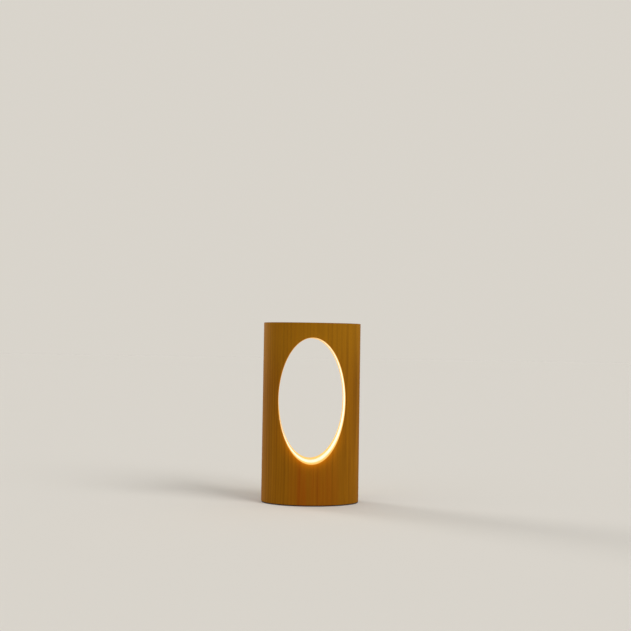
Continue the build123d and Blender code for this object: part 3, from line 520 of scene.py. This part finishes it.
def rounded_block(node, piece, body, rounding, finishes):
    """A block in the place of a CAD node, with every edge rounded."""
    low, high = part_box(node)
    bpy.ops.object.select_all(action="DESELECT")
    bpy.ops.mesh.primitive_cube_add(size=1.0, location=(low + high) / 2)
    block = bpy.context.object
    block.name = piece
    block.scale = high - low
    bpy.ops.object.transform_apply(location=True, rotation=True, scale=True)
    bpy.ops.object.mode_set(mode="EDIT")
    bpy.ops.mesh.select_all(action="SELECT")
    bpy.ops.mesh.bevel(offset=rounding * MM, segments=ROUNDING_STEPS, affect="EDGES")
    bpy.ops.object.mode_set(mode="OBJECT")
    bpy.ops.object.shade_smooth_by_angle(angle=math.radians(SMOOTH_ANGLE))
    block.data.materials.append(finishes[SLOTS[node]])
    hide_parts(node)
    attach(block, body)


def make_camera():
    """The photograph's camera."""
    turn, pitch, roll = CAMERA_TURN, CAMERA_PITCH, CAMERA_ROLL
    ahead = Vector((math.sin(turn) * math.cos(pitch), math.cos(turn) * math.cos(pitch), math.sin(pitch)))
    right = ahead.cross(Vector((0, 0, 1))).normalized()
    up = right.cross(ahead)
    rolled_right = right * math.cos(roll) + up * math.sin(roll)
    rolled_up = up * math.cos(roll) - right * math.sin(roll)
    data = bpy.data.cameras.new("camera")
    data.lens = CAMERA_LENS
    data.sensor_width = SENSOR_WIDTH
    data.clip_start = 0.01
    camera = bpy.data.objects.new("camera", data)
    axes = Matrix((rolled_right, rolled_up, -ahead)).transposed().to_4x4()
    camera.matrix_world = Matrix.Translation(CAMERA_PLACE) @ axes
    bpy.context.scene.collection.objects.link(camera)
    bpy.context.scene.camera = camera


def way_to(lamp):
    """The direction from the lamp to a light of the stage."""
    return Vector(LAMPS[lamp][0]).normalized()


def make_stage():
    """A plain pale matt floor."""
    bpy.ops.mesh.primitive_plane_add(size=FLOOR_SIZE, location=(0, 0, 0))
    floor = bpy.context.object
    floor.name = "floor"
    paint = Paint("pale_floor", Base_Color=srgb(*FLOOR_COLOUR), Roughness=1.0, Specular_IOR_Level=0.0)
    floor.data.materials.append(paint.material)


def make_world():
    """Even light from all round, and a background that goes on from the floor at the floor's own level."""
    world = bpy.data.worlds.new("studio")
    bpy.context.scene.world = world
    world.use_nodes = True
    tree = world.node_tree
    tree.nodes.clear()
    ambient = tree.nodes.new("ShaderNodeBackground")
    ambient.inputs["Strength"].default_value = SKY_STRENGTH
    ambient.inputs["Color"].default_value = (1, 1, 1, 1)
    backdrop = tree.nodes.new("ShaderNodeBackground")
    backdrop.inputs["Color"].default_value = srgb(*FLOOR_COLOUR)
    from_lamps = sum(strength * way_to(lamp).z for lamp, (_, strength, _) in LAMPS.items()) / math.pi
    backdrop.inputs["Strength"].default_value = SKY_STRENGTH + from_lamps
    path = tree.nodes.new("ShaderNodeLightPath")
    seen = path.outputs["Is Camera Ray"]
    for ray in ("Is Glossy Ray", "Is Transmission Ray"):
        either = tree.nodes.new("ShaderNodeMath")
        either.operation = "MAXIMUM"
        tree.links.new(seen, either.inputs[0])
        tree.links.new(path.outputs[ray], either.inputs[1])
        seen = either.outputs[0]
    choice = tree.nodes.new("ShaderNodeMixShader")
    output = tree.nodes.new("ShaderNodeOutputWorld")
    tree.links.new(seen, choice.inputs[0])
    tree.links.new(ambient.outputs[0], choice.inputs[1])
    tree.links.new(backdrop.outputs[0], choice.inputs[2])
    tree.links.new(choice.outputs[0], output.inputs["Surface"])


def make_lamps():
    """Broad far lamps: a key from the front right, a fill, and one from behind on the left."""
    for name, (_, strength, width) in LAMPS.items():
        data = bpy.data.lights.new(name, "SUN")
        data.energy = strength
        data.angle = math.radians(width)
        lamp = bpy.data.objects.new(name, data)
        lamp.rotation_euler = way_to(name).to_track_quat("Z", "Y").to_euler()
        bpy.context.scene.collection.objects.link(lamp)


make_camera()
finishes = finish_nodes()
button_coil(finishes["spring_steel"])
for node, (piece, body, rounding) in ROUNDED_BLOCKS.items():
    rounded_block(node, piece, body, rounding, finishes)
make_stage()
make_world()
make_lamps()
bpy.context.scene.view_settings.view_transform = "Standard"
